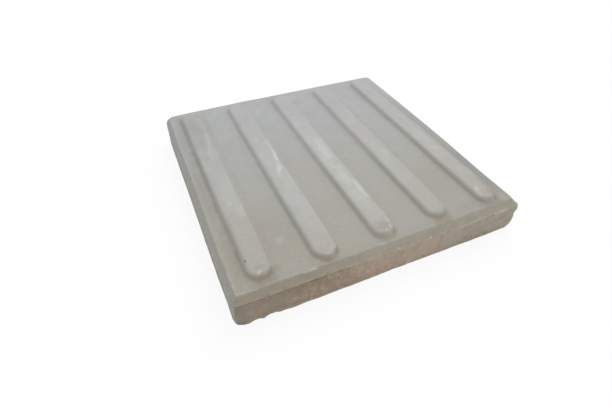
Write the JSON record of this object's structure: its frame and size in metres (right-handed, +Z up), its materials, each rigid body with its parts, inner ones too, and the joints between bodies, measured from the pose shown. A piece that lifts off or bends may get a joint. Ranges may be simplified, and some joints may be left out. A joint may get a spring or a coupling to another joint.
{
  "type": "tactile paving slab",
  "caption": "Square concrete paving slab with a bevelled walking face and a row of raised flat-topped bars that guide blind pedestrians along a path.",
  "frame": {"origin": "centre of the underside, the face that is bedded", "axes": "+Z up out of the walking face, +Y along the bars, +X across them"},
  "size_m": [0.4, 0.4, 0.053],
  "materials": {
    "concrete": "smooth cast concrete, dry and matt, browner and rougher on the sides"
  },
  "bodies": {
    "root": {"paving_slab": "concrete"}
  },
  "joints": []
}
